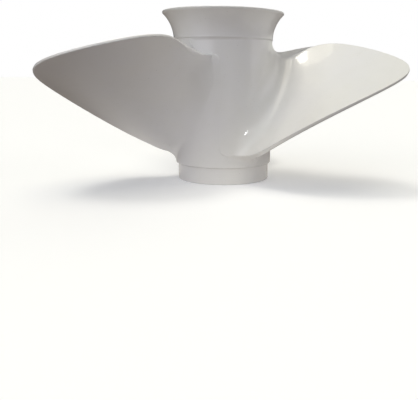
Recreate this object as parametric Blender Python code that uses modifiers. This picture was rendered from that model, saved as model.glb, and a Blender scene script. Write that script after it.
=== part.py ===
"""Three-bladed, right-handed propeller for a small outboard motor, standing on its front end.

The propeller is one painted aluminium casting: a hub barrel with a flared rear end, three blades,
and an inner hub that three ribs hold inside the barrel, so that exhaust gas passes between them.
A rubber bushing is pressed into the inner hub, and a splined sleeve is bonded inside the rubber.

Metres and degrees. +Z runs along the shaft towards the rear, the origin is on the shaft's axis
at the front face, and the root of blade 0 lies over +Y.
"""

import math

import bmesh
import bpy
from mathutils import Matrix

# Driving dimensions
DIAMETER = 0.235
PITCH = 0.318
BLADE_COUNT = 3
HUB_LENGTH = 0.1050

# Hub barrel: a plain tube between the front collar and the flared rear end
BARREL_RADIUS = 0.0314
BARREL_BORE = 0.0276
COLLAR_RADIUS = 0.0297
COLLAR_LENGTH = 0.0106
FLARE_START = 0.0882
FLARE_RADIUS = 0.0382
FLARE_WALL = 0.0028
EDGE_BREAK = 0.0006

# Blades: a share runs from 0 at the barrel to 1 at the tip, and angles are degrees round the shaft.
# The thickness of each edge is given at the barrel and at the tip.
ROOT_HEIGHT = 0.0450
ROOT_HALF_SPAN = 29.5
SPAN_GROWTH = (1.51, -3.31, 1.46)
SKEW = (-24.7, 53.1, -34.7)
RAKE = (0.505, -0.220)
TIP_BLUNTNESS = 0.998
ROOT_CROWN = 0.0058
LEADING_EDGE = (0.0034, 0.0015)
TRAILING_EDGE = (0.0019, 0.0013)
PRESSURE_SIDE_CROWN = 0.15
SUCTION_FULLNESS = 2.6
ROOT_DEPTH = 0.0015
FOOT_HEIGHT = 0.00025

# Blends at the blade roots. Each row has a place on the half outline, then the blend's width round the
# barrel, its rise along the shaft, its height up the blade, and its curve (2 is a round fillet).
PRESSURE_BLEND = (
    (0.00, 0.0007, -0.0061, 0.0049, 1.64),
    (0.08, 0.0182, -0.0002, 0.0206, 1.99),
    (0.50, 0.0225, 0.0000, 0.0165, 2.0),
    (0.90, 0.0078, 0.0178, 0.0130, 1.80),
    (1.00, 0.0042, 0.0073, 0.0280, 1.05),
)
SUCTION_BLEND = (
    (0.00, -0.0042, 0.0073, 0.0280, 1.05),
    (0.08, 0.0056, 0.0087, 0.0130, 1.18),
    (0.30, 0.0100, 0.0040, 0.0100, 1.6),
    (0.60, 0.0110, 0.0000, 0.0090, 2.0),
    (0.90, 0.0058, -0.0013, 0.0044, 2.12),
    (1.00, -0.0007, -0.0061, 0.0049, 1.64),
)

# Changes of the chord at its ends: the size, the height above the barrel where it is greatest, and the
# spread. The leading edge reaches further out near the barrel, and the trailing edge stands back.
LEADING_GROWTH = (0.0018, 0.0063, 0.0098)
TRAILING_DIP = (0.0030, 0.0182, 0.0148)

# Inner hub with its ribs
INNER_HUB_RADIUS = 0.0200
INNER_HUB_BORE = 0.0160
INNER_HUB_FRONT = 0.0080
INNER_HUB_REAR = 0.0820
RIB_THICKNESS = 0.0050
RIB_FRONT = 0.0110
RIB_REAR = 0.0780
RIB_OVERLAP = 0.0015

# Rubber bushing and splined sleeve
SEAT_GAP = 0.0003
BUSHING_FRONT = 0.0120
BUSHING_REAR = 0.0780
BUSHING_GROOVE = 0.0012
SLEEVE_RADIUS = 0.0100
SLEEVE_FRONT = 0.0100
SLEEVE_REAR = 0.0850
SPLINE_COUNT = 8
SPLINE_ROOT_RADIUS = 0.0084
SPLINE_TIP_RADIUS = 0.0071

# Mesh density
ROUND_STEPS = 60
FLARE_STEPS = 6
CHORD_STEPS = 14
LONG_NOSE_STEPS = 7
SHORT_NOSE_STEPS = 4
RADIAL_STEPS = 11
BLEND_STEPS = 7
CAP_STEPS = 6

RADIUS = DIAMETER / 2
REACH = RADIUS - BARREL_RADIUS
LEAD_PER_RADIAN = PITCH / (2 * math.pi)
BLADE_ANGLE = 2 * math.pi / BLADE_COUNT
ROOT_SLOPE = math.atan2(LEAD_PER_RADIAN, BARREL_RADIUS)


def paint(name, colour, roughness, metallic=0.0):
    material = bpy.data.materials.new(name)
    material.use_nodes = True
    shader = material.node_tree.nodes["Principled BSDF"]
    shader.inputs["Base Color"].default_value = (*colour, 1.0)
    shader.inputs["Roughness"].default_value = roughness
    shader.inputs["Metallic"].default_value = metallic
    return material


def mesh_object(name, mesh_data, collection):
    mesh = bpy.data.meshes.new(name)
    mesh_data.to_mesh(mesh)
    mesh_data.free()
    piece = bpy.data.objects.new(name, mesh)
    collection.objects.link(piece)
    return piece


def turned(name, profile, collection):
    """A closed profile of (radius, height), run down its outer side first, turned round the axis."""
    outline = bmesh.new()
    corners = [outline.verts.new((radius, 0, height)) for radius, height in profile]
    for corner, following in zip(corners, corners[1:] + corners[:1]):
        outline.edges.new((corner, following))
    piece = mesh_object(name, outline, collection)
    screw = piece.modifiers.new("turn", "SCREW")
    screw.axis = "Z"
    screw.steps = ROUND_STEPS
    screw.render_steps = ROUND_STEPS
    screw.use_merge_vertices = True
    screw.merge_threshold = 0.00001
    return piece


def flare_arc(offset):
    """The barrel's outline from the rim down to the start of the flare, moved in by offset."""
    rise = HUB_LENGTH - FLARE_START
    gain = FLARE_RADIUS - BARREL_RADIUS
    bend = (rise**2 + gain**2) / (2 * gain)
    full_turn = math.asin(rise / bend)
    points = []
    for step in range(FLARE_STEPS + 1):
        turn = full_turn * (1 - step / FLARE_STEPS)
        radius = BARREL_RADIUS + bend - (bend + offset) * math.cos(turn)
        points.append((radius, FLARE_START + (bend + offset) * math.sin(turn)))
    return points


def barrel_profile():
    outside = flare_arc(0.0)
    inside = [point for point in reversed(flare_arc(FLARE_WALL)) if point[1] < HUB_LENGTH]
    lip = FLARE_RADIUS - FLARE_WALL
    collar = [
        (BARREL_RADIUS, COLLAR_LENGTH + EDGE_BREAK),
        (BARREL_RADIUS - EDGE_BREAK, COLLAR_LENGTH),
        (COLLAR_RADIUS, COLLAR_LENGTH),
        (COLLAR_RADIUS, EDGE_BREAK),
        (COLLAR_RADIUS - EDGE_BREAK, 0.0),
        (BARREL_BORE, 0.0),
    ]
    return outside + collar + [(BARREL_BORE, FLARE_START)] + inside[1:] + [(lip, HUB_LENGTH)]


def half_span(share):
    """Half of the angle that the blade covers, in radians."""
    growth = 1 + sum(value * share ** (n + 1) for n, value in enumerate(SPAN_GROWTH))
    return math.radians(ROOT_HALF_SPAN) * growth * math.sqrt(1 - (TIP_BLUNTNESS * share) ** 2)


def skew(share):
    """The angle of the middle of the blade from that of its root, in radians."""
    return math.radians(sum(value * share ** (n + 1) for n, value in enumerate(SKEW)))


def half_outline():
    """Half of a section's outline, from the point at one end of the shaft to that at the other.

    Each entry has its spot along the chord from -1 to 1, its turn round the edge, and its place on the
    half outline from 0 to 1. The other half is laid out in the same way from the other end.
    """
    lean = math.pi / 2 - ROOT_SLOPE
    entries = []
    for step in range(LONG_NOSE_STEPS + 1):
        part = step / LONG_NOSE_STEPS
        entries.append((-1.0, math.pi + lean - part * (math.pi / 2 + lean), 0.12 * part))
    for step in range(1, CHORD_STEPS):
        spot = -math.cos(math.pi * step / CHORD_STEPS)
        entries.append((spot, math.pi / 2, 0.12 + 0.4 * (1 + spot)))
    for step in range(SHORT_NOSE_STEPS + 1):
        part = step / SHORT_NOSE_STEPS
        entries.append((1.0, math.pi / 2 - part * (math.pi / 2 - lean), 1 - 0.08 * (1 - part)))
    return entries


def blend(lift, place, rows):
    """How far the outline spreads round the barrel and along the shaft, at a height above the barrel."""
    upper = next(row for row in rows[1:] if place <= row[0])
    lower = rows[rows.index(upper) - 1]
    part = (1 - math.cos(math.pi * (place - lower[0]) / (upper[0] - lower[0]))) / 2
    width, rise, height, curve = (a + (b - a) * part for a, b in zip(lower[1:], upper[1:]))
    short = max(0.0, 1 - lift / height)
    growth = 1 - (1 - short**curve) ** (1 / curve)
    return growth * width, growth * rise


def swell(lift, size, height, spread):
    return size * math.exp(-(((lift - height) / spread) ** 2))


def blade_section(share):
    """A section round the shaft, as a loop of (angle, height): pressure side first, then suction side."""
    radius = BARREL_RADIUS + REACH * share
    slope = math.atan2(LEAD_PER_RADIAN, radius)
    height = ROOT_HEIGHT + REACH * (RAKE[0] * share + RAKE[1] * share**2)
    half_chord = half_span(share) * math.hypot(radius, LEAD_PER_RADIAN)
    crown = ROOT_CROWN * (1 - share) ** 0.8
    leading, trailing = (root + (tip - root) * share for root, tip in (LEADING_EDGE, TRAILING_EDGE))
    growth = swell(REACH * share, *LEADING_GROWTH)
    dip = swell(REACH * share, *TRAILING_DIP)

    def side(end, crown_share, fullness, rows):
        points = []
        for spot, turn, place in half_outline()[:-1]:
            half_edge = (leading + (trailing - leading) * (1 + end * spot) / 2) / 2
            cut = -growth if end * spot < 0 else dip
            along = end * (spot * (half_chord - half_edge - cut) + half_edge * math.cos(turn))
            bulge = crown * crown_share * (1 - abs(spot) ** fullness)
            off = end * (half_edge * math.sin(turn) + bulge)
            width, rise = blend(REACH * share, place, rows)
            sideways = math.cos(slope) * along - math.sin(slope) * off - end * width
            along_shaft = math.sin(slope) * along + math.cos(slope) * off + rise
            points.append((skew(share) + sideways / radius, height + along_shaft))
        return points

    pressure_side = side(1, PRESSURE_SIDE_CROWN, 2.0, PRESSURE_BLEND)
    suction_side = side(-1, 1 - PRESSURE_SIDE_CROWN, SUCTION_FULLNESS, SUCTION_BLEND)
    return pressure_side + suction_side


def section_shares():
    """Shares of the sections, from the foot of the blend up the blade to the tip."""
    foot = FOOT_HEIGHT / REACH
    top = max(row[3] for row in PRESSURE_BLEND + SUCTION_BLEND) / REACH
    turns = [math.pi / 2 * step / BLEND_STEPS for step in range(BLEND_STEPS + 1)]
    shares = [foot + (top - foot) * (1 - math.cos(turn)) for turn in turns]
    turns = [math.pi / 2 * step / RADIAL_STEPS for step in range(1, RADIAL_STEPS + 1)]
    return shares + [top + (1 - top) * math.sin(turn) for turn in turns]


def around(radius, angle, height):
    return (-radius * math.sin(angle), radius * math.cos(angle), height)


def close_root(loft, loop, section, radius):
    """Closes a blade inside the barrel's wall, with strips that bend round the shaft."""
    half = len(loop) // 2
    rows = [[loop[0]] * (CAP_STEPS + 1)]
    for n in range(1, half):
        (near_angle, near_height), (far_angle, far_height) = section[n], section[-n]
        between = []
        for step in range(1, CAP_STEPS):
            share = step / CAP_STEPS
            angle = near_angle + (far_angle - near_angle) * share
            height = near_height + (far_height - near_height) * share
            between.append(loft.verts.new(around(radius, angle, height)))
        rows.append([loop[n], *between, loop[-n]])
    rows.append([loop[half]] * (CAP_STEPS + 1))
    for low, high in zip(rows, rows[1:]):
        for i in range(CAP_STEPS):
            loft.faces.new(dict.fromkeys((low[i], low[i + 1], high[i + 1], high[i])))


def add_blade(index, collection):
    """A loft from inside the barrel's wall out to the tip."""
    loft = bmesh.new()
    shares = section_shares()
    sections = [(BARREL_RADIUS - ROOT_DEPTH, blade_section(shares[0]))]
    sections += [(BARREL_RADIUS + REACH * share, blade_section(share)) for share in shares]
    loops = [[loft.verts.new(around(radius, *point)) for point in section] for radius, section in sections]
    for inner, outer in zip(loops, loops[1:]):
        for i in range(len(inner)):
            loft.faces.new((inner[i - 1], inner[i], outer[i], outer[i - 1]))
    close_root(loft, loops[0], sections[0][1], sections[0][0])
    loft.faces.new(loops[-1])
    bmesh.ops.recalc_face_normals(loft, faces=loft.faces)
    loft.transform(Matrix.Rotation(BLADE_ANGLE * index, 4, "Z"))
    return mesh_object(f"blade_{index}", loft, collection)


def add_rib(index, collection):
    """A rib that reaches into the inner hub's wall and into the barrel's wall."""
    inner = INNER_HUB_RADIUS - RIB_OVERLAP
    length = BARREL_BORE + RIB_OVERLAP - inner
    box = bmesh.new()
    bmesh.ops.create_cube(box, size=1.0)
    box.transform(Matrix.Diagonal((RIB_THICKNESS, length, RIB_REAR - RIB_FRONT, 1)))
    box.transform(Matrix.Translation((0, inner + length / 2, (RIB_REAR + RIB_FRONT) / 2)))
    box.transform(Matrix.Rotation(BLADE_ANGLE * index, 4, "Z"))
    return mesh_object(f"rib_{index}", box, collection)


def tube_profile(outer, bore, front, rear):
    return [
        (outer - EDGE_BREAK, rear),
        (outer, rear - EDGE_BREAK),
        (outer, front + EDGE_BREAK),
        (outer - EDGE_BREAK, front),
        (bore, front),
        (bore, rear),
    ]


def add_casting(collection, operands):
    """The barrel, joined with its blades, inner hub and ribs into one solid."""
    casting = turned("propeller_casting", barrel_profile(), collection)
    hub = tube_profile(INNER_HUB_RADIUS, INNER_HUB_BORE, INNER_HUB_FRONT, INNER_HUB_REAR)
    joined = [turned("inner_hub", hub, operands)]
    for index in range(BLADE_COUNT):
        joined.append(add_rib(index, operands))
        joined.append(add_blade(index, operands))
    for shape in joined:
        shape.hide_render = True
        shape.display_type = "WIRE"
        union = casting.modifiers.new(shape.name, "BOOLEAN")
        union.operation = "UNION"
        union.solver = "EXACT"
        union.object = shape
    casting.data.materials.append(paint("white_enamel", (0.78, 0.78, 0.77), 0.35))


def add_bushing(collection):
    """The rubber bushing, with a shallow groove round the middle of its outside."""
    outer = INNER_HUB_BORE - SEAT_GAP
    bore = SLEEVE_RADIUS + SEAT_GAP
    profile = tube_profile(outer, bore, BUSHING_FRONT, BUSHING_REAR)
    middle = (BUSHING_FRONT + BUSHING_REAR) / 2
    groove = [
        (outer, middle + 2 * BUSHING_GROOVE),
        (outer - BUSHING_GROOVE, middle + BUSHING_GROOVE),
        (outer - BUSHING_GROOVE, middle - BUSHING_GROOVE),
        (outer, middle - 2 * BUSHING_GROOVE),
    ]
    bushing = turned("rubber_bushing", profile[:2] + groove + profile[2:], collection)
    bushing.data.materials.append(paint("black_rubber", (0.02, 0.02, 0.02), 0.7))


def spline_outline():
    """The bore's outline: straight-sided splines stand inwards from the root circle."""
    points = []
    root_turns = [(share, SPLINE_ROOT_RADIUS) for share in (0.0, 0.24, 0.48)]
    tip_turns = [(share, SPLINE_TIP_RADIUS) for share in (0.56, 0.74, 0.92)]
    for tooth in range(SPLINE_COUNT):
        for share, radius in root_turns + tip_turns:
            angle = 2 * math.pi * (tooth + share) / SPLINE_COUNT
            points.append((radius * math.cos(angle), radius * math.sin(angle)))
    return points


def circle_outline(radius, count):
    turns = [2 * math.pi * step / count for step in range(count)]
    return [(radius * math.cos(turn), radius * math.sin(turn)) for turn in turns]


def add_sleeve(collection):
    """The sleeve: a flat ring with a splined hole, extruded along the shaft and made a mesh."""
    drawing = bpy.data.curves.new("sleeve_outline", "CURVE")
    drawing.dimensions = "2D"
    drawing.fill_mode = "BOTH"
    drawing.extrude = (SLEEVE_REAR - SLEEVE_FRONT) / 2
    for outline in (circle_outline(SLEEVE_RADIUS, ROUND_STEPS), spline_outline()):
        spline = drawing.splines.new("POLY")
        spline.points.add(len(outline) - 1)
        spline.use_cyclic_u = True
        for point, (x, y) in zip(spline.points, outline):
            point.co = (x, y, 0, 1)
    sketch = bpy.data.objects.new("sleeve_sketch", drawing)
    collection.objects.link(sketch)
    graph = bpy.context.evaluated_depsgraph_get()
    mesh = bpy.data.meshes.new_from_object(sketch.evaluated_get(graph))
    bpy.data.objects.remove(sketch)

    solid = bmesh.new()
    solid.from_mesh(mesh)
    bpy.data.meshes.remove(mesh)
    bmesh.ops.remove_doubles(solid, verts=solid.verts, dist=0.00001)
    bmesh.ops.recalc_face_normals(solid, faces=solid.faces)
    sleeve = mesh_object("splined_sleeve", solid, collection)
    sleeve.location.z = (SLEEVE_REAR + SLEEVE_FRONT) / 2
    sleeve.data.materials.append(paint("machined_metal", (0.62, 0.56, 0.42), 0.35, 1.0))


def shade(collection):
    for piece in collection.objects:
        piece.data.shade_smooth()
        piece.data.set_sharp_from_angle(angle=math.radians(30))


def main():
    for old in list(bpy.data.objects):
        bpy.data.objects.remove(old)
    propeller = bpy.data.collections.new("outboard_propeller")
    operands = bpy.data.collections.new("joined_shapes")
    bpy.context.scene.collection.children.link(propeller)
    bpy.context.scene.collection.children.link(operands)
    add_casting(propeller, operands)
    add_bushing(propeller)
    add_sleeve(propeller)
    shade(propeller)


main()
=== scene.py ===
"""The looks of an outboard motor's propeller: fine surfaces, enamel, rubber and bronze.

Named values are in metres and degrees. +Z runs along the shaft towards the flared rear end, and the
root of blade 0 lies over +Y. Angles round the shaft are counted from +Y, anticlockwise as seen from
above. A share runs from 0 at the barrel to 1 at a blade's tip. A place runs from 0 to 1 along half of
a blade section's outline, from the split in the middle of one edge to the split in the other edge.
"""

import math

import bmesh
import bpy
import numpy as np
from mathutils import Matrix, Vector


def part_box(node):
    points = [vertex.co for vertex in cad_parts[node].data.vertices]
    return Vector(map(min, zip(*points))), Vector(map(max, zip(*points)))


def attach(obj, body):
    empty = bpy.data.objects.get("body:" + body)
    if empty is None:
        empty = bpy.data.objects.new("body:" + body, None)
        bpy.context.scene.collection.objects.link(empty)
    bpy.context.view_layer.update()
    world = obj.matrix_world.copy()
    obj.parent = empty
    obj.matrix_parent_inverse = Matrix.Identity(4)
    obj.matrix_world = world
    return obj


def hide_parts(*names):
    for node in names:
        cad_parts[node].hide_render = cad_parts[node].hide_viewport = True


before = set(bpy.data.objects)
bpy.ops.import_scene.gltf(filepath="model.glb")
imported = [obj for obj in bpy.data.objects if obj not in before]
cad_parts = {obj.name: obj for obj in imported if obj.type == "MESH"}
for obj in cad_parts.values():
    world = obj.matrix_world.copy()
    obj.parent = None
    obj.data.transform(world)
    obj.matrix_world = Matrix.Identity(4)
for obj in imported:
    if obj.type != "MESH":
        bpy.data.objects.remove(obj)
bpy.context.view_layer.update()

# Whole propeller
DIAMETER = 0.235
PITCH = 0.318
BLADE_COUNT = 3
HUB_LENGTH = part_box("propeller_casting")[1].z

# Hub barrel and its collar
BARREL_RADIUS = 0.0314
BARREL_BORE = 0.0276
COLLAR_RADIUS = 0.0297
COLLAR_LENGTH = 0.0106
SHOULDER_ROUND = 0.0005
EDGE_BREAK = 0.0006

# Flare and rim. The lands are the short stretches beside the rim that don't follow the flare's arc.
FLARE_START = 0.0882
FLARE_RADIUS = 0.0382
FLARE_WALL = 0.0028
FLARE_STEP = 0.00015
RIM_LAND = 0.0011
RIM_ROUND = 0.0004
MOUTH_LAND = 0.0012
MOUTH_ROUND = 0.0008
MOUTH_END_ANGLE = 150

# Blades. Span and skew change with the share, its square and its cube, the rake with the first two.
# The crown fades towards the tip by a power. Each edge has a thickness at the barrel and one at the tip.
ROOT_HEIGHT = 0.0450
ROOT_HALF_SPAN = 29.5
SPAN_GROWTH = (1.51, -3.31, 1.46)
SKEW = (-24.7, 53.1, -34.7)
RAKE = (0.505, -0.220)
ROOT_CROWN = 0.0058
CROWN_FADE = 0.8
LEADING_EDGE = (0.0034, 0.0015)
TRAILING_EDGE = (0.0019, 0.0013)
EDGE_SQUARENESS = 3.2
PRESSURE_SIDE_CROWN = 0.15
PRESSURE_FULLNESS = 2.0
SUCTION_FULLNESS = 2.6

# Blends at the blade roots. Each row has a place on the half outline, then the blend's width round the
# barrel, its rise along the shaft, its height up the blade, and its curve (2 is a round fillet).
PRESSURE_BLEND = (
    (0.00, 0.0007, -0.0061, 0.0049, 1.64),
    (0.08, 0.0182, -0.0002, 0.0206, 1.99),
    (0.50, 0.0225, 0.0000, 0.0165, 2.0),
    (0.90, 0.0078, 0.0178, 0.0130, 1.80),
    (1.00, 0.0042, 0.0073, 0.0280, 1.05),
)
SUCTION_BLEND = (
    (0.00, -0.0042, 0.0073, 0.0280, 1.05),
    (0.08, 0.0056, 0.0087, 0.0130, 1.18),
    (0.30, 0.0100, 0.0040, 0.0100, 1.6),
    (0.60, 0.0110, 0.0000, 0.0090, 2.0),
    (0.90, 0.0058, -0.0013, 0.0044, 2.12),
    (1.00, -0.0007, -0.0061, 0.0049, 1.64),
)

# Changes of the chord at its ends: the size, the height above the barrel where it is greatest, and the
# spread. The leading edge reaches further out near the barrel, and the trailing edge stands back.
LEADING_GROWTH = (0.0018, 0.0063, 0.0098)
TRAILING_DIP = (0.0030, 0.0182, 0.0148)

# Inner hub with its ribs, which run a little way into the walls that they join
INNER_HUB_RADIUS = 0.0200
INNER_HUB_BORE = 0.0160
INNER_HUB_FRONT = 0.0080
INNER_HUB_REAR = 0.0820
INNER_HUB_ROUND = 0.0008
RIB_THICKNESS = 0.0050
RIB_FRONT = 0.0110
RIB_REAR = 0.0780
RIB_FILLET = 0.0024
RIB_ROUND = 0.0021
RIB_OVERLAP = 0.0004

# Rubber bushing, with a fine gap to the metal on both sides. Each end has a trough between two lips.
BUSHING_FRONT = 0.0120
BUSHING_REAR = 0.0780
FIT_GAP = 0.00005
LIP_ROUND = 0.0006
TROUGH_DEPTH = 0.0014
TROUGH_CURVE = 1.5
TROUGH_MARGIN = 2.6 * LIP_ROUND

# Splined sleeve. A spline's rise, its fall and the width of its flanks are shares of one spline's turn.
SLEEVE_RADIUS = 0.0100
SLEEVE_FRONT = 0.0100
SLEEVE_REAR = 0.0850
SPLINE_COUNT = 8
SPLINE_ROOT_RADIUS = 0.0084
SPLINE_TIP_RADIUS = 0.0071
SPLINE_RISE = 0.47
SPLINE_FALL = 0.91
SPLINE_FLANK = 0.08
SPLINE_CHAMFER = 0.0018
SLEEVE_CHAMFER = 0.0007

# Parting line between the two halves of the mould, and the barrel's slight taper (the draft) on either
# side. Round a blade's foot one draft passes into the other between the split and the ledge's corner:
# the passage has the place where it starts, and its length.
PARTING_ANGLE = 48.5
PARTING_BEND_HEIGHT = 0.0040
PARTING_WIDTH = 0.0007
DRAFT = 0.0075
DRAFT_LEVEL = 0.052
DRAFT_FADE_HEIGHT = 0.004
DRAFT_PASSAGE = (0.05, 0.03)
LEDGE_CORNER_PLACE = 0.08

# Mesh density. The noses' places are where the first one ends and where the second one starts.
NOSE_LONG_STEPS = 16
NOSE_SHORT_STEPS = 8
NOSE_PLACES = (0.12, 0.92)
CHORD_STEPS = 56
CHORD_CROWDING = 0.6
FILLET_STEPS = 22
RADIAL_STEPS = 84
GAP_STEPS = 20
PARTING_STEPS = 8
END_ROWS = 8
BAND_CROWDING = 1.6
FLARE_STEPS = 20
ROUND_STEPS = 4
INSIDE_ROWS = 20
TURNED_COLUMNS = 144
RIB_STEPS = 8
TROUGH_STEPS = 16
SPLINE_COLUMNS = 24
CHAMFER_ROWS = 10
SPLINE_ROWS = 12
WELD_DISTANCE = 0.000002
SHARP_ANGLE = 28

# Marks of how sharply the surface bends, for wear and for the painted shade in grooves: the factor that
# gives them in 1/mm, the greatest mark, and how often they are smoothed
BEND_FACTOR = 0.002
BEND_LIMIT = 4.0
BEND_SMOOTHINGS = 2

RADIUS = DIAMETER / 2
REACH = RADIUS - BARREL_RADIUS
LEAD_PER_RADIAN = PITCH / (2 * math.pi)
BLADE_ANGLE = 2 * math.pi / BLADE_COUNT
ROOT_SLOPE = math.atan2(LEAD_PER_RADIAN, BARREL_RADIUS)

# Camera, as it stood for the photograph
CAMERA_TURN = -7.18
CAMERA_DISTANCE = 0.3696
CAMERA_HEIGHT = 0.0680
CAMERA_HEADING = 10.02
CAMERA_PITCH = -12.80
CAMERA_ROLL = 0.66
FOCAL_PIXELS = 557.8
IMAGE_WIDTH = 418
CENTRE_OFFSET_PIXELS = 41.3
SENSOR_WIDTH = 36.0

# Colours of the enamel, the rubber and the bronze, and the shares of those that lie over another
ENAMEL_COOL = (0.785, 0.783, 0.795)
ENAMEL_WARM = (0.812, 0.805, 0.780)
ENAMEL_THIN = (0.770, 0.768, 0.750)
ENAMEL_INSIDE = (0.640, 0.640, 0.620)
ENAMEL_WORN = (0.560, 0.555, 0.540)
# Dark tone of the real dust specks, and also of the painted shade laid into the enamel's grooves
ENAMEL_DUST_AND_SHADE = (0.330, 0.310, 0.290)
RUBBER_BLACK = (0.016, 0.016, 0.017)
RUBBER_BLOOM = (0.048, 0.047, 0.045)
RUBBER_RUBBED = (0.030, 0.029, 0.028)
BRONZE_BRIGHT = (0.720, 0.560, 0.330)
BRONZE_DULL = (0.430, 0.320, 0.190)
BRONZE_EDGE = (0.820, 0.680, 0.450)
THIN_SHARE = 0.35
INSIDE_SHARE = 0.45
WORN_SHARE = 0.3
# Share of the painted shade in the grooves
GROOVE_SHADE_SHARE = 0.25
SPECK_SHARE = 0.5
RUBBED_SHARE = 0.5
BRONZE_EDGE_SHARE = 0.7

# Patches of colour and gloss: how many in a metre, their detail and raggedness, and the levels of the
# noise between which they fade in
TINT_PATCHES = (16, 2.0, 0.5, 0.3, 0.7)
THIN_PATCHES = (140, 4.0, 0.5, 0.35, 0.75)
WORN_PATCHES = (420, 4.0, 0.5, 0.4, 0.7)
# Patches of the painted shade in the grooves
GROOVE_SHADE_PATCHES = (160, 3.0, 0.5, 0.3, 0.7)
SPECKS = (1500, 1.0, 0.5, 0.76, 0.80)
GLOSS_PATCHES = (60, 3.0, 0.5, 0.3, 0.7)
BLOOM_PATCHES = (180, 5.0, 0.6, 0.4, 0.75)
TARNISH_PATCHES = (260, 5.0, 0.6, 0.42, 0.72)

# Bend marks between which wear, painted shade in grooves, rubbed rubber and bright bronze fade in
WORN_BENDS = (0.4, 1.4)
GROOVE_SHADE_BENDS = (-0.4, -2.0)
RUBBED_BENDS = (0.4, 2.0)
BRONZE_EDGE_BENDS = (0.6, 2.0)

# Roughness of each shader from its glossiest to its dullest, and what some places add to it
ENAMEL_ROUGHNESS = (0.28, 0.38)
INSIDE_ROUGHNESS = 0.18
WORN_ROUGHNESS = 0.12
RUBBER_ROUGHNESS = (0.50, 0.72)
BRONZE_ROUGHNESS = (0.26, 0.46)
RING_ROUGHNESS = 0.03

# Relief: how many bumps in a metre and their detail, for the scratches their raggedness and stretch
# too, then the rings' pitches and the depths
CAST_WAVES = (38, 2.0)
CAST_GRAIN = (1100, 4.0)
ORANGE_PEEL = (640, 1.5)
RUBBER_GRAIN = (2600, 3.0)
SCRATCHES = (2400, 2.0, 0.5, (1, 1, 0.02))
RUBBER_RING_PITCH = 0.0009
TOOL_FEED = 0.00035
CAST_WAVE_DEPTH = 0.0003
CAST_GRAIN_DEPTH = 0.00016
ORANGE_PEEL_DEPTH = 0.000012
SPECK_DEPTH = 0.00003
RUBBER_RING_DEPTH = 0.00003
RUBBER_GRAIN_DEPTH = 0.00006
TOOL_RING_DEPTH = 0.000012
SCRATCH_DEPTH = 0.00003

# Where the duller enamel of the inside starts, outwards from the bore, and where the bronze changes
# from its broached bore to its turned faces, outwards from the splines' roots
INSIDE_PASSAGE = 0.0004
BROACHED_PASSAGE = (0.0003, 0.0001)

# World and floor. The camera sees the world white and the floor in one tone. What they send to the
# propeller is another matter: a faint even light, and a bounce that goes from the near to the far
# floor colour between the two distances from the shaft.
WORLD_SEEN = 1.0
WORLD_LIGHT = 0.08
FLOOR_SIZE = 12.0
FLOOR_TONE = (0.925, 0.935, 0.965)
FLOOR_GLOW = 0.15
FLOOR_ROUGHNESS = 0.8
FLOOR_NEAR = (0.96, 0.935, 0.93)
FLOOR_FAR = (0.17, 0.145, 0.14)
FLOOR_REACH = (0.05, 0.12)

# Soft lights in the sky: name, turn from the camera's side to the right, height, width, strength and
# colour
SKY_LIGHTS = (
    ("front", -30, 45, 80, 1.02, (0.93, 0.98, 1.00)),
    ("left", -45, 12, 50, 0.50, (1.00, 0.92, 0.97)),
    ("right", 90, 12, 50, 0.53, (1.00, 0.95, 0.97)),
    ("back", 180, 45, 50, 0.34, (0.98, 1.00, 0.90)),
    ("back right", 135, 12, 50, 0.42, (1.00, 1.00, 0.90)),
    ("overhead", 0, 88, 50, 0.95, (1.00, 0.94, 0.76)),
    ("lamp", -101, 74, 17, 0.52, (1.00, 0.97, 0.90)),
    ("spark", 14, 14, 6, 0.20, (1.00, 1.00, 1.00)),
)


def around(radius, angle, height):
    """Points at angles counted from +Y; takes numbers or arrays."""
    x, y = -radius * np.sin(angle), radius * np.cos(angle)
    return np.stack(np.broadcast_arrays(x, y, height), axis=-1)


def smooth(value):
    """A smooth passage from 0 to 1 as the value goes from 0 to 1."""
    value = np.clip(value, 0, 1)
    return value * value * (3 - 2 * value)


def bend_marks(vertices):
    """How sharply the surface bends at each vertex: above 0 on an edge, below 0 in a groove."""
    vertices.index_update()
    neighbours = [[edge.other_vert(vertex) for edge in vertex.link_edges] for vertex in vertices]
    marks = []
    for vertex, others in zip(vertices, neighbours):
        steps = [other.co - vertex.co for other in others]
        bends = [-BEND_FACTOR * vertex.normal.dot(step) / step.length_squared for step in steps]
        sharpest = max(bends, key=abs, default=0.0)
        marks.append(max(-BEND_LIMIT, min(BEND_LIMIT, sharpest)))
    for _ in range(BEND_SMOOTHINGS):
        marks = [
            (mark + sum(marks[other.index] for other in others)) / (1 + len(others))
            for mark, others in zip(marks, neighbours)
        ]
    return marks


class Surface:
    """Gathers vertices and faces for one mesh."""

    def __init__(self):
        self.points = []
        self.faces = []
        self.count = 0

    def add(self, points):
        """Adds an array of points, and returns the array of their numbers, in the same layout."""
        points = np.asarray(points, float)
        numbers = np.arange(points[..., 0].size).reshape(points.shape[:-1]) + self.count
        self.points.append(points.reshape(-1, 3))
        self.count += numbers.size
        return numbers

    def grid(self, numbers, closed=False):
        """Quads over a grid of vertex numbers; closed joins the last column to the first."""
        if closed:
            numbers = np.concatenate([numbers, numbers[:, :1]], axis=1)
        corners = [numbers[:-1, :-1], numbers[:-1, 1:], numbers[1:, 1:], numbers[1:, :-1]]
        self.faces.append(np.stack(corners, axis=-1).reshape(-1, 4))

    def build(self, name):
        """Welds the grids into one mesh with its faces turned outwards and its bend marks stored."""
        mesh = bpy.data.meshes.new(name)
        mesh.from_pydata(np.concatenate(self.points), [], np.concatenate(self.faces).tolist())
        welded = bmesh.new()
        welded.from_mesh(mesh)
        bmesh.ops.remove_doubles(welded, verts=welded.verts, dist=WELD_DISTANCE)
        bmesh.ops.recalc_face_normals(welded, faces=welded.faces)
        bends = bend_marks(welded.verts)
        welded.to_mesh(mesh)
        welded.free()
        mesh.attributes.new("bend", "FLOAT", "POINT").data.foreach_set("value", bends)
        mesh.shade_smooth()
        piece = bpy.data.objects.new(name, mesh)
        bpy.context.scene.collection.objects.link(piece)
        return piece


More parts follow.
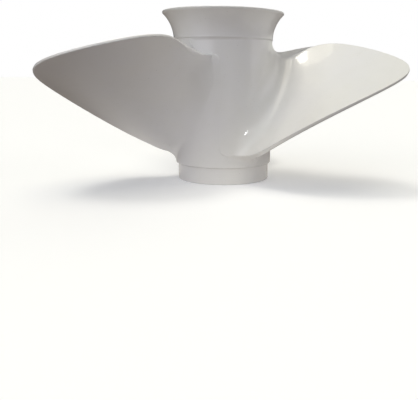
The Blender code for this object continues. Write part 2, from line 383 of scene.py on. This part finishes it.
def half_span(share):
    """Half of the angle round the shaft that a blade takes up, in radians."""
    growth = 1 + sum(value * share ** (n + 1) for n, value in enumerate(SPAN_GROWTH))
    return math.radians(ROOT_HALF_SPAN) * growth * math.sqrt(max(0.0, 1 - share**2))


def skew(share):
    """The angle of a section's middle round the shaft, in radians."""
    return math.radians(sum(value * share ** (n + 1) for n, value in enumerate(SKEW)))


def nose_turns():
    """Turns round a nose from the split to the side, for the long and the short stretch of the arc."""
    lean = math.pi / 2 - ROOT_SLOPE
    long_way = np.linspace(-lean, math.pi / 2, NOSE_LONG_STEPS + 1)
    short_way = np.linspace(math.pi / 2, lean, NOSE_SHORT_STEPS + 1)
    return long_way, short_way


def chord_spots():
    """Spots along the chord from -1 to 1, closer together near both edges."""
    share = np.linspace(0, 1, CHORD_STEPS + 1)
    crowded = CHORD_CROWDING * np.cos(math.pi * share)
    return -(crowded + (1 - CHORD_CROWDING) * (1 - 2 * share))


def half_loop():
    """Half of a section's outline, from the split at one end to the split at the other.

    Each point has its spot along the chord, its turn round the nose, and its place on the outline from
    0 to 1. The other half of the outline is laid out in the same way from the other end.
    """
    long_way, short_way = nose_turns()
    spots = chord_spots()[1:-1]
    along = np.concatenate([np.full(long_way.size, -1.0), spots, np.full(short_way.size, 1.0)])
    turn = np.concatenate([math.pi - long_way, np.full(spots.size, math.pi / 2), short_way])
    first_end, second_start = NOSE_PLACES
    near = np.linspace(0, first_end, long_way.size)
    between = first_end + (second_start - first_end) * (1 + spots) / 2
    far = np.linspace(second_start, 1, short_way.size)
    return along, turn, np.concatenate([near, between, far])


def squared(value):
    """A cosine or sine pushed outwards, so that an edge is squarish with round corners."""
    return np.sign(value) * np.abs(value) ** (2 / EDGE_SQUARENESS)


def eased(place, places, values):
    """Values between the rows of a blend, with a smooth passage from row to row."""
    spot = np.interp(place, places, range(len(places)))
    whole = np.minimum(spot.astype(int), len(places) - 2)
    part = (1 - np.cos(math.pi * (spot - whole))) / 2
    values = np.array(values)
    return values[whole] * (1 - part) + values[whole + 1] * part


def blend(lift, place, rows):
    """How far the outline spreads, sideways and along the shaft, at this lift above the barrel."""
    places, width, rise, height, curve = zip(*rows)
    curve = eased(place, places, curve)
    short = np.clip(1 - lift / eased(place, places, height), 0, 1)
    growth = 1 - (1 - short**curve) ** (1 / curve)
    return growth * eased(place, places, width), growth * eased(place, places, rise)


def swell(lift, size, height, spread):
    """A soft swelling of this size, greatest at the height and fading over the spread."""
    return size * math.exp(-(((lift - height) / spread) ** 2))


def blade_loop(share):
    """A closed section at one radius: first the pressure side, then the suction side.

    Gives the radius, and each point's angle and height.
    """
    lift = REACH * share
    radius = BARREL_RADIUS + lift
    slope = math.atan2(LEAD_PER_RADIAN, radius)
    height = ROOT_HEIGHT + REACH * (RAKE[0] * share + RAKE[1] * share**2)
    leading, trailing = (root + (tip - root) * share for root, tip in (LEADING_EDGE, TRAILING_EDGE))
    tip_round = TRAILING_EDGE[1] / 2
    over_tip = np.clip((radius - (RADIUS - tip_round)) / tip_round, 0, 1)
    rounding = math.sqrt(1 - over_tip**2)
    crown = ROOT_CROWN * (1 - share) ** CROWN_FADE
    half_width = half_span(share) * math.hypot(radius, LEAD_PER_RADIAN)
    along, turn, place = half_loop()
    growth = swell(lift, *LEADING_GROWTH)
    dip = swell(lift, *TRAILING_DIP)

    def outline(end, crown_share, fullness, rows):
        half_edge = (leading + (trailing - leading) * (1 + end * along) / 2) / 2
        nose = np.minimum(half_edge, half_width)
        bulge = crown * crown_share * (1 - np.abs(along) ** fullness)
        cut = np.where(end * along < 0, -growth, dip)
        x = end * (along * (half_width - nose - cut) + nose * squared(np.cos(turn)))
        y = end * (half_edge * squared(np.sin(turn)) + bulge) * rounding
        spread, rise = blend(lift, place, rows)
        sideways = math.cos(slope) * x - math.sin(slope) * y - end * spread
        level = height + math.sin(slope) * x + math.cos(slope) * y + rise
        return skew(share) + sideways / radius, level

    pressure = outline(1, PRESSURE_SIDE_CROWN, PRESSURE_FULLNESS, PRESSURE_BLEND)
    suction = outline(-1, 1 - PRESSURE_SIDE_CROWN, SUCTION_FULLNESS, SUCTION_BLEND)
    angles = np.concatenate([pressure[0][:-1], suction[0][:-1]])
    heights = np.concatenate([pressure[1][:-1], suction[1][:-1]])
    return radius, angles, heights


def blade_shares():
    """Shares of the sections: dense in the blend, and again towards the tip."""
    top = max(row[3] for row in PRESSURE_BLEND + SUCTION_BLEND) / REACH
    low = top * (1 - np.cos(np.linspace(0, math.pi / 2, FILLET_STEPS + 1)))
    blade = top + (1 - top) * np.sin(np.linspace(0, math.pi / 2, RADIAL_STEPS + 1)[1:])
    return np.concatenate([low, blade])


def upper_draft(height):
    """The barrel's change of radius where the upper half of the mould made it."""
    return -DRAFT * (height - DRAFT_LEVEL)


def lower_draft(height):
    """The barrel's change of radius where the lower half of the mould made it."""
    return DRAFT * (height - DRAFT_LEVEL)


def loop_draft(height):
    """The change of radius at each point of a blade's foot: upper on one side, lower on the other."""
    start, length = DRAFT_PASSAGE
    _, _, place = half_loop()
    over = smooth((place - start) / length)
    low_to_high = np.concatenate([over[:-1], 1 - over[:-1]])
    return lower_draft(height) * (1 - low_to_high) + upper_draft(height) * low_to_high


def add_blade(surface, index):
    """One blade, from its foot on the tapered barrel to its tip."""
    loops = []
    for share in blade_shares():
        radius, angle, height = blade_loop(share)
        fade = np.clip(1 - REACH * share / DRAFT_FADE_HEIGHT, 0, 1) ** 2
        loops.append(around(radius + fade * loop_draft(height), angle, height))
    turn = Matrix.Rotation(BLADE_ANGLE * index, 3, "Z")
    numbers = surface.add(np.array(loops) @ np.array(turn).T)
    surface.grid(numbers, closed=True)


def ledge_steps():
    """Steps along a blade's foot from near the top of its pressure side to the trailing edge's split."""
    _, _, height = blade_loop(0.0)
    half = height.size // 2
    return half + 1 - int(np.argmax(height[: half + 1]))


def gap_edges():
    """The edges of the barrel's bare patch between two blades, as angles, heights and drafts.

    The left edge is the foot of one blade's suction side, the right edge that of the next blade's
    pressure side. Both run from the collar up to the ledges.
    """
    _, angle, height = blade_loop(0.0)
    draft = loop_draft(height)
    half = angle.size // 2
    low = np.linspace(COLLAR_LENGTH + SHOULDER_ROUND, height[0], END_ROWS + 1)[:-1]

    def edge(numbers, turned):
        angles = np.concatenate([np.full(END_ROWS, angle[0]), angle[numbers]]) + turned
        heights = np.concatenate([low, height[numbers]])
        drafts = np.concatenate([lower_draft(low), draft[numbers]])
        return angles, heights, drafts

    pressure = np.arange(half + 1 - ledge_steps())
    suction = np.append(np.arange(half + ledge_steps(), angle.size), 0)[::-1]
    return edge(suction, 0.0), edge(pressure, BLADE_ANGLE)


def corner_rows():
    """The patch's rows where the two ledges end: one counted from its bottom, the other from its top."""
    _, _, place = half_loop()
    corner = int(np.searchsorted(place, LEDGE_CORNER_PLACE))
    return END_ROWS + corner, corner - ledge_steps()


def parting_angles(left, right):
    """The angle at which each row of the patch crosses the parting line."""
    low, high = corner_rows()
    line = math.radians(PARTING_ANGLE)

    def bend(edge, row):
        short = np.clip(1 - np.abs(edge[1] - edge[1][row]) / PARTING_BEND_HEIGHT, 0, 1)
        return (edge[0][row] - line) * (1 - np.sqrt(1 - short**2))

    angles = line + bend(right, low) + bend(left, -1 - high)
    angles[: low + 1] = right[0][: low + 1]
    angles[-1 - high:] = left[0][-1 - high:]
    margin = PARTING_WIDTH / BARREL_RADIUS
    return np.clip(angles, left[0] + margin, right[0] - margin)


def barrel_patch():
    """The barrel's outside between two blades: radii, angles and heights, in rows from the collar up."""
    left, right = gap_edges()
    middle = parting_angles(left, right)[:, None]
    step = PARTING_WIDTH / BARREL_RADIUS * np.linspace(-1, 1, PARTING_STEPS + 1)[None, :]
    share = np.linspace(0, 1, GAP_STEPS + 1)[None, :-1]
    left_angle, right_angle = left[0][:, None], right[0][:, None]
    before = left_angle + (middle + step[:, :1] - left_angle) * share
    after = middle + step[:, -1:] + (right_angle - middle - step[:, -1:]) * (1 - share[:, ::-1])
    angles = np.concatenate([before, middle + step, after], axis=1)
    across = (angles - left_angle) / (right_angle - left_angle)
    heights = left[1][:, None] * (1 - across) + right[1][:, None] * across
    over = smooth((angles - middle) * BARREL_RADIUS / PARTING_WIDTH / 2 + 0.5)
    low, high = corner_rows()
    over[:low] = 0
    over[over.shape[0] - high:] = 1
    drafts = lower_draft(heights) * (1 - over) + upper_draft(heights) * over
    near_left = 1 - smooth((angles - left_angle) * BARREL_RADIUS / PARTING_WIDTH)
    near_right = 1 - smooth((right_angle - angles) * BARREL_RADIUS / PARTING_WIDTH)
    drafts = drafts + (left[2][:, None] - drafts) * near_left
    drafts = drafts + (right[2][:, None] - drafts) * near_right
    return BARREL_RADIUS + drafts, angles, heights


def ledge_band(radii, angles, heights):
    """The barrel's outside from a blade's ledge and the patch beside it up to the flare."""
    _, foot_angle, foot_height = blade_loop(0.0)
    half, steps = foot_angle.size // 2, ledge_steps()
    ledge = np.arange(half - steps, half + steps)
    foot_draft = loop_draft(foot_height)[ledge]
    angle = np.concatenate([foot_angle[ledge], angles[-1]])
    low = np.concatenate([foot_height[ledge], heights[-1]])
    draft = np.concatenate([foot_draft, radii[-1] - BARREL_RADIUS]) - upper_draft(low)
    share = np.linspace(0, 1, END_ROWS + 1)[:, None] ** BAND_CROWDING
    height = low + (FLARE_START - low) * share
    fade = 1 - smooth((height - low) / PARTING_WIDTH)
    radius = BARREL_RADIUS + upper_draft(height) + draft * fade
    return radius, np.broadcast_to(angle, height.shape), height


def add_barrel(surface):
    """The barrel outside and inside, with the collar and the flare."""
    patch = barrel_patch()
    band = ledge_band(*patch)
    for index in range(BLADE_COUNT):
        for radii, angles, heights in (patch, band):
            surface.grid(surface.add(around(radii, angles + BLADE_ANGLE * index, heights)))
    turned_rows(surface, collar_profile(lower_draft(patch[2][0, 0])), patch[1][0])
    turned_rows(surface, flare_profile(upper_draft(FLARE_START)), band[1][-1])


def turned_rows(surface, profile, angles):
    """A profile turned round the shaft, with its columns at the barrel patch's own angles."""
    columns = np.concatenate([angles[:-1] + BLADE_ANGLE * index for index in range(BLADE_COUNT)])
    profile = np.array(profile)
    points = around(profile[:, :1], columns[None, :], profile[:, 1:])
    surface.grid(surface.add(points), closed=True)


def rounded_corner(centre, radius, start, stop, steps=ROUND_STEPS):
    """Points (radius, height) on an arc; angles in degrees from the outward direction."""
    turns = np.radians(np.linspace(start, stop, steps + 1))
    return [(centre[0] + radius * math.cos(t), centre[1] + radius * math.sin(t)) for t in turns]


def rounded_box(centres, radius, start, steps=ROUND_STEPS):
    """Four quarter arcs round their centres, one after the other, from this angle on."""
    outline = []
    for number, centre in enumerate(centres):
        turn = start + 90 * number
        outline += rounded_corner(centre, radius, turn, turn + 90, steps)
    return outline


def collar_profile(offset):
    """From the barrel's lower edge over the shoulder, down the collar, and up inside to the flare."""
    edge = BARREL_RADIUS + offset
    shoulder_centre = (edge - SHOULDER_ROUND, COLLAR_LENGTH + SHOULDER_ROUND)
    root_centre = (COLLAR_RADIUS + SHOULDER_ROUND, COLLAR_LENGTH - SHOULDER_ROUND)
    shoulder = rounded_corner(shoulder_centre, SHOULDER_ROUND, 0, -90)
    root = rounded_corner(root_centre, SHOULDER_ROUND, 90, 180)
    foot = rounded_corner((COLLAR_RADIUS - EDGE_BREAK, EDGE_BREAK), EDGE_BREAK, 0, -90)
    mouth = rounded_corner((BARREL_BORE + EDGE_BREAK, EDGE_BREAK), EDGE_BREAK, -90, -180)
    wall = [(BARREL_BORE, z) for z in np.linspace(EDGE_BREAK, FLARE_START, INSIDE_ROWS + 1)[1:]]
    return shoulder + root + foot + mouth + wall


def flare_arc(offset, land):
    """The flare from its start up to the land below the rim, moved in by offset."""
    rise = HUB_LENGTH - land - FLARE_START
    gain = FLARE_RADIUS - BARREL_RADIUS
    arc_radius = (rise**2 + gain**2) / (2 * gain)
    turns = np.linspace(0, math.asin(rise / arc_radius), FLARE_STEPS + 1)
    radii = BARREL_RADIUS + arc_radius - (arc_radius + offset) * np.cos(turns)
    return list(zip(radii, FLARE_START + (arc_radius + offset) * np.sin(turns)))


def flare_profile(offset):
    """From the barrel's upper edge up the flare, over the rim, and down inside."""
    step_top = (BARREL_RADIUS + FLARE_STEP, FLARE_START + FLARE_STEP)
    step = [(BARREL_RADIUS + offset, FLARE_START), step_top]
    outside = flare_arc(0.0, RIM_LAND)[1:]
    lip = rounded_corner((FLARE_RADIUS - RIM_ROUND, HUB_LENGTH - RIM_ROUND), RIM_ROUND, 0, 90)
    inner_edge = FLARE_RADIUS - FLARE_WALL
    mouth_centre = (inner_edge + MOUTH_ROUND, HUB_LENGTH - MOUTH_ROUND)
    mouth = rounded_corner(mouth_centre, MOUTH_ROUND, 90, MOUTH_END_ANGLE)
    inner_arc = reversed(flare_arc(FLARE_WALL, 0.0))
    inside = [point for point in inner_arc if point[1] < HUB_LENGTH - MOUTH_LAND]
    return step + outside + lip + mouth + inside[:-1] + [(BARREL_BORE, FLARE_START)]


def make_shell():
    """The barrel with its collar, flare and blades, in one mesh."""
    surface = Surface()
    add_barrel(surface)
    for index in range(BLADE_COUNT):
        add_blade(surface, index)
    return surface.build("casting_shell")


def turned_grid(surface, profile):
    """A closed profile turned all the way round the shaft."""
    columns = np.linspace(0, 2 * math.pi, TURNED_COLUMNS + 1)[:-1]
    profile = np.array(profile + profile[:1])
    points = around(profile[:, :1], columns[None, :], profile[:, 1:])
    surface.grid(surface.add(points), closed=True)


def inner_hub_profile():
    """The inner hub's wall: up its outside, over the rear end, down the bore, over the front end."""
    outer, bore = INNER_HUB_RADIUS - INNER_HUB_ROUND, INNER_HUB_BORE + INNER_HUB_ROUND
    rear, front = INNER_HUB_REAR - INNER_HUB_ROUND, INNER_HUB_FRONT + INNER_HUB_ROUND
    centres = ((outer, rear), (bore, rear), (bore, front), (outer, front))
    return rounded_box(centres, INNER_HUB_ROUND, 0)


def rib_loop(radius):
    """A rib's outline at one radius. It has round front and rear edges, and widens near both walls."""
    gap = max(0.0, min(radius - INNER_HUB_RADIUS, BARREL_BORE - radius))
    short = max(0.0, 1 - gap / RIB_FILLET)
    growth = RIB_FILLET * (1 - math.sqrt(1 - short**2))
    half, corner = RIB_THICKNESS / 2 + growth, RIB_ROUND + growth
    side, front, rear = half - corner, RIB_FRONT - growth + corner, RIB_REAR + growth - corner
    centres = ((side, front), (side, rear), (-side, rear), (-side, front))
    offset, height = np.array(rounded_box(centres, corner, -90, RIB_STEPS)).T
    return around(radius, np.arcsin(offset / radius), height)


def make_core():
    """The inner hub, and the three ribs that hold it in the barrel."""
    surface = Surface()
    turned_grid(surface, inner_hub_profile())
    near_wall = RIB_FILLET * (1 - np.cos(np.linspace(0, math.pi / 2, RIB_STEPS + 1)))
    from_wall = np.concatenate([[-RIB_OVERLAP], near_wall])
    radii = np.concatenate([from_wall + INNER_HUB_RADIUS, BARREL_BORE - from_wall[::-1]])
    loops = np.array([rib_loop(radius) for radius in radii])
    for index in range(BLADE_COUNT):
        turn = Matrix.Rotation(BLADE_ANGLE * index, 3, "Z")
        surface.grid(surface.add(loops @ np.array(turn).T), closed=True)
    return surface.build("casting_core")


def bushing_end(level, inward):
    """One end of the bushing from its outside to its bore; inward is -1 at the rear, 1 at the front."""
    outer, bore = INNER_HUB_BORE - FIT_GAP, SLEEVE_RADIUS + FIT_GAP
    middle = (outer + bore) / 2
    half_trough = (outer - bore) / 2 - TROUGH_MARGIN
    lip_level, turn = level + inward * LIP_ROUND, -90 * inward
    outside = rounded_corner((outer - LIP_ROUND, lip_level), LIP_ROUND, 0, turn)
    inside = rounded_corner((bore + LIP_ROUND, lip_level), LIP_ROUND, turn, 2 * turn)
    trough = [
        (middle + spot * half_trough, level + inward * TROUGH_DEPTH * (1 - spot**2) ** TROUGH_CURVE)
        for spot in np.linspace(1, -1, TROUGH_STEPS + 1)
    ]
    return outside + trough + inside


def make_bushing():
    """The rubber bushing between the inner hub and the sleeve."""
    surface = Surface()
    turned_grid(surface, bushing_end(BUSHING_REAR, -1) + bushing_end(BUSHING_FRONT, 1)[::-1])
    return surface.build("bushing_body")


def spline_radii():
    """Angles and radii round the splined bore, with sloped flanks between root and tip."""
    share = (np.arange(SPLINE_COUNT * SPLINE_COLUMNS) / SPLINE_COLUMNS) % 1
    up = smooth((share - SPLINE_RISE) / SPLINE_FLANK)
    down = smooth((share - SPLINE_FALL) / SPLINE_FLANK)
    columns = 2 * math.pi * np.arange(share.size) / share.size
    return columns, SPLINE_ROOT_RADIUS - (SPLINE_ROOT_RADIUS - SPLINE_TIP_RADIUS) * (up - down)


def make_sleeve():
    """The splined sleeve, with a turned chamfer at each end of the splines."""
    columns, splines = spline_radii()
    edge = SLEEVE_CHAMFER
    mouth = SPLINE_TIP_RADIUS + SPLINE_CHAMFER
    rear, front = SLEEVE_REAR - SPLINE_CHAMFER, SLEEVE_FRONT + SPLINE_CHAMFER
    heights = np.concatenate([
        np.linspace(SLEEVE_REAR, rear, CHAMFER_ROWS),
        np.linspace(rear, front, SPLINE_ROWS)[1:-1],
        np.linspace(front, SLEEVE_FRONT, CHAMFER_ROWS),
    ])
    to_end = np.minimum(SLEEVE_REAR - heights, heights - SLEEVE_FRONT)
    inside = np.maximum(splines[None, :], (mouth - to_end)[:, None])
    outside = np.array([
        (SLEEVE_RADIUS - edge, SLEEVE_FRONT),
        (SLEEVE_RADIUS, SLEEVE_FRONT + edge),
        (SLEEVE_RADIUS, SLEEVE_REAR - edge),
        (SLEEVE_RADIUS - edge, SLEEVE_REAR),
    ])
    radii = np.concatenate([np.repeat(outside[:, :1], columns.size, axis=1), inside])
    levels = np.concatenate([outside[:, 1], heights])
    radii = np.concatenate([radii, radii[:1]])
    levels = np.append(levels, levels[0])
    surface = Surface()
    surface.grid(surface.add(around(radii, columns[None, :], levels[:, None])), closed=True)
    piece = surface.build("sleeve_body")
    piece.data.set_sharp_from_angle(angle=math.radians(SHARP_ANGLE))
    return piece


class Shading:
    """A node material in the making: adds nodes, joins them, and feeds the one shader."""

    def __init__(self, name):
        self.material = bpy.data.materials.new(name)
        self.material.use_nodes = True
        self.tree = self.material.node_tree
        self.shader = self.tree.nodes["Principled BSDF"]
        self.place = self.add("TexCoord").outputs["Object"]

    def add(self, kind, **settings):
        node = self.tree.nodes.new("ShaderNode" + kind)
        for key, value in settings.items():
            setattr(node, key, value)
        return node

    def join(self, value, socket):
        """Links an output to a socket, or sets the socket where the value is a plain one."""
        if isinstance(value, bpy.types.NodeSocket):
            self.tree.links.new(value, socket)
        else:
            socket.default_value = value

    def math(self, operation, *values):
        node = self.add("Math", operation=operation)
        for value, socket in zip(values, node.inputs):
            self.join(value, socket)
        return node.outputs[0]

    def times(self, first, second):
        return self.math("MULTIPLY", first, second)

    def noise(self, count, detail, roughness=0.5, stretch=(1, 1, 1)):
        """Noise from 0 to 1, with about this many patches in a metre."""
        mapping = self.add("Mapping")
        mapping.inputs["Scale"].default_value = stretch
        self.join(self.place, mapping.inputs["Vector"])
        node = self.add("TexNoise")
        node.inputs["Scale"].default_value = count
        node.inputs["Detail"].default_value = detail
        node.inputs["Roughness"].default_value = roughness
        self.join(mapping.outputs["Vector"], node.inputs["Vector"])
        return node.outputs["Fac"]

    def span(self, value, low, high, start=0.0, stop=1.0):
        """Maps the stretch from low to high smoothly onto that from start to stop."""
        node = self.add("MapRange", interpolation_type="SMOOTHSTEP")
        for number, part in enumerate((value, low, high, start, stop)):
            self.join(part, node.inputs[number])
        return node.outputs["Result"]

    def patches(self, count, detail, roughness, low, high, start=0.0, stop=1.0):
        """Soft patches from start to stop, where the noise goes from low to high."""
        return self.span(self.noise(count, detail, roughness), low, high, start, stop)

    def mix(self, share, first, second):
        """A colour on the way from the first to the second."""
        node = self.add("Mix", data_type="RGBA")
        sockets = [socket for socket in node.inputs if socket.type == "RGBA"]
        self.join(share, node.inputs["Factor"])
        for colour, socket in zip((first, second), sockets):
            self.join(colour if isinstance(colour, bpy.types.NodeSocket) else (*colour, 1), socket)
        return next(socket for socket in node.outputs if socket.type == "RGBA")

    def bump(self, height, depth, below=None):
        """A bump of this depth in metres, on top of an earlier one."""
        node = self.add("Bump")
        node.inputs["Distance"].default_value = depth
        self.join(height, node.inputs["Height"])
        if below is not None:
            self.join(below, node.inputs["Normal"])
        return node.outputs["Normal"]

    def bend(self):
        """The meshes' stored marks: above 0 on an edge, below 0 in a groove."""
        return self.add("Attribute", attribute_name="bend").outputs["Fac"]

    def from_axis(self):
        """The distance from the shaft's axis, and the height along it."""
        split = self.add("SeparateXYZ")
        self.join(self.place, split.inputs[0])
        across = self.times(split.outputs["X"], split.outputs["X"])
        across = self.math("MULTIPLY_ADD", split.outputs["Y"], split.outputs["Y"], across)
        return self.math("SQRT", across), split.outputs["Z"]

    def rings(self, distance, pitch):
        """Waves from -1 to 1 along a distance."""
        return self.math("SINE", self.times(distance, 2 * math.pi / pitch))

    def feed(self, **values):
        for key, value in values.items():
            self.join(value, self.shader.inputs[key.replace("_", " ")])


def enamel_material():
    """Glossy off-white enamel on a casting: worn on edges, with painted shade in its grooves, duller
    inside the hub.
    """
    paint = Shading("white_enamel")
    radius, _ = paint.from_axis()
    inside = paint.span(radius, BARREL_BORE + INSIDE_PASSAGE, BARREL_BORE)
    bend = paint.bend()
    worn = paint.times(paint.span(bend, *WORN_BENDS), paint.patches(*WORN_PATCHES))
    # Painted shade: concave grooves and creases are darkened in the colour, in patches
    groove_shade = paint.times(paint.span(bend, *GROOVE_SHADE_BENDS), paint.patches(*GROOVE_SHADE_PATCHES))
    speck = paint.patches(*SPECKS)

    tint = paint.mix(paint.patches(*TINT_PATCHES), ENAMEL_COOL, ENAMEL_WARM)
    tint = paint.mix(paint.patches(*THIN_PATCHES, 0.0, THIN_SHARE), tint, ENAMEL_THIN)
    tint = paint.mix(paint.times(inside, INSIDE_SHARE), tint, ENAMEL_INSIDE)
    tint = paint.mix(paint.times(worn, WORN_SHARE), tint, ENAMEL_WORN)
    # Painted shade in the grooves, then real dark dust specks, both in the same dark tone
    tint = paint.mix(paint.times(groove_shade, GROOVE_SHADE_SHARE), tint, ENAMEL_DUST_AND_SHADE)
    tint = paint.mix(paint.times(speck, SPECK_SHARE), tint, ENAMEL_DUST_AND_SHADE)

    rough = paint.patches(*GLOSS_PATCHES, *ENAMEL_ROUGHNESS)
    rough = paint.math("ADD", rough, paint.times(inside, INSIDE_ROUGHNESS))
    rough = paint.math("ADD", rough, paint.times(worn, WORN_ROUGHNESS))

    skin = paint.bump(paint.noise(*CAST_WAVES), CAST_WAVE_DEPTH)
    skin = paint.bump(paint.times(inside, paint.noise(*CAST_GRAIN)), CAST_GRAIN_DEPTH, skin)
    skin = paint.bump(paint.noise(*ORANGE_PEEL), ORANGE_PEEL_DEPTH, skin)
    skin = paint.bump(speck, -SPECK_DEPTH, skin)
    paint.feed(Base_Color=tint, Roughness=rough, Normal=skin, Coat_Normal=skin)
    paint.feed(Coat_Weight=0.7, Coat_Roughness=0.035, Coat_IOR=1.5, IOR=1.5)
    return paint.material


def rubber_material():
    """Black rubber with moulded rings, a fine grain, a grey bloom, and edges rubbed a little paler."""
    rubber = Shading("black_rubber")
    bloom = rubber.patches(*BLOOM_PATCHES)
    colour = rubber.mix(bloom, RUBBER_BLACK, RUBBER_BLOOM)
    rubbed = rubber.span(rubber.bend(), *RUBBED_BENDS)
    colour = rubber.mix(rubber.times(rubbed, RUBBED_SHARE), colour, RUBBER_RUBBED)
    radius, _ = rubber.from_axis()
    skin = rubber.bump(rubber.rings(radius, RUBBER_RING_PITCH), RUBBER_RING_DEPTH)
    skin = rubber.bump(rubber.noise(*RUBBER_GRAIN), RUBBER_GRAIN_DEPTH, skin)
    rough = rubber.span(bloom, 0, 1, *RUBBER_ROUGHNESS)
    rubber.feed(Base_Color=colour, Roughness=rough, Normal=skin, IOR=1.5)
    return rubber.material


def bronze_material():
    """Bronze with tool rings on its turned faces, scratches in its broached bore, and tarnish."""
    metal = Shading("machined_metal")
    radius, height = metal.from_axis()
    bore = metal.span(radius, *(SPLINE_ROOT_RADIUS + passage for passage in BROACHED_PASSAGE))
    rings = metal.rings(metal.math("ADD", radius, height), TOOL_FEED)
    rings = metal.times(rings, metal.math("SUBTRACT", 1.0, bore))
    scratches = metal.noise(*SCRATCHES)
    tarnish = metal.patches(*TARNISH_PATCHES)
    colour = metal.mix(tarnish, BRONZE_BRIGHT, BRONZE_DULL)
    edge = metal.span(metal.bend(), *BRONZE_EDGE_BENDS)
    colour = metal.mix(metal.times(edge, BRONZE_EDGE_SHARE), colour, BRONZE_EDGE)
    finish = metal.bump(rings, TOOL_RING_DEPTH)
    finish = metal.bump(metal.times(scratches, bore), SCRATCH_DEPTH, finish)
    rough = metal.span(tarnish, 0, 1, *BRONZE_ROUGHNESS)
    rough = metal.math("ADD", rough, metal.times(rings, RING_ROUGHNESS))
    metal.feed(Base_Color=colour, Roughness=rough, Normal=finish, Metallic=1.0)
    return metal.material


def add_camera():
    """The camera where the photograph was taken from, with the photograph's framing."""
    data = bpy.data.cameras.new("camera")
    data.sensor_width = SENSOR_WIDTH
    data.lens = FOCAL_PIXELS / IMAGE_WIDTH * SENSOR_WIDTH
    data.shift_x = -CENTRE_OFFSET_PIXELS / IMAGE_WIDTH
    camera = bpy.data.objects.new("camera", data)
    bpy.context.scene.collection.objects.link(camera)
    turn = math.radians(CAMERA_TURN)
    x, y = CAMERA_DISTANCE * math.sin(turn), -CAMERA_DISTANCE * math.cos(turn)
    place = Vector((x, y, CAMERA_HEIGHT))
    heading = Matrix.Rotation(math.radians(-CAMERA_HEADING), 4, "Z")
    tilt = Matrix.Rotation(math.radians(90 + CAMERA_PITCH), 4, "X")
    roll = Matrix.Rotation(math.radians(CAMERA_ROLL), 4, "Z")
    camera.matrix_world = Matrix.Translation(place) @ heading @ tilt @ roll
    bpy.context.scene.camera = camera


def add_sky_light(name, turn, height, width, strength, colour):
    """A soft light far away, as wide in the sky as the angle given."""
    data = bpy.data.lights.new(name, "SUN")
    data.angle = math.radians(width)
    data.energy = strength
    data.color = colour
    light = bpy.data.objects.new(name, data)
    bpy.context.scene.collection.objects.link(light)
    light.rotation_euler = (math.radians(90 - height), 0, math.radians(CAMERA_TURN + turn))


def add_floor():
    """A floor that the camera sees plain and pale, and that lights the collar more than the blades."""
    bpy.ops.mesh.primitive_plane_add(size=FLOOR_SIZE)
    floor = bpy.context.object
    floor.name = "floor"
    ground = Shading("floor")
    seen = ground.add("LightPath").outputs["Is Camera Ray"]
    radius, _ = ground.from_axis()
    bounce = ground.mix(ground.span(radius, *FLOOR_REACH), FLOOR_NEAR, FLOOR_FAR)
    tone = ground.mix(seen, bounce, FLOOR_TONE)
    glow = ground.times(seen, FLOOR_GLOW)
    ground.feed(Base_Color=tone, Roughness=FLOOR_ROUGHNESS)
    ground.feed(Emission_Color=(1, 1, 1, 1), Emission_Strength=glow)
    floor.data.materials.append(ground.material)


def add_world():
    """White behind the propeller, and a faint even light all round it."""
    world = bpy.data.worlds.new("world")
    world.use_nodes = True
    nodes, links = world.node_tree.nodes, world.node_tree.links
    rays = nodes.new("ShaderNodeLightPath")
    strength = nodes.new("ShaderNodeMix")
    strength.inputs["A"].default_value = WORLD_LIGHT
    strength.inputs["B"].default_value = WORLD_SEEN
    links.new(rays.outputs["Is Camera Ray"], strength.inputs["Factor"])
    links.new(strength.outputs["Result"], nodes["Background"].inputs["Strength"])
    nodes["Background"].inputs["Color"].default_value = (1, 1, 1, 1)
    bpy.context.scene.world = world


def add_stage():
    """Everything round the propeller but the camera: floor, world and lights."""
    add_floor()
    add_world()
    for light in SKY_LIGHTS:
        add_sky_light(*light)


def dress(piece, node, material):
    """Gives a piece its material, hangs it on the root body, and hides the node that it stands in for.
    """
    piece.data.materials.append(material)
    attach(piece, "root")
    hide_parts(node)


def main():
    enamel = enamel_material()
    dress(make_shell(), "propeller_casting", enamel)
    dress(make_core(), "propeller_casting", enamel)
    dress(make_bushing(), "rubber_bushing", rubber_material())
    dress(make_sleeve(), "splined_sleeve", bronze_material())
    add_camera()
    add_stage()
    bpy.context.scene.view_settings.view_transform = "Standard"


main()
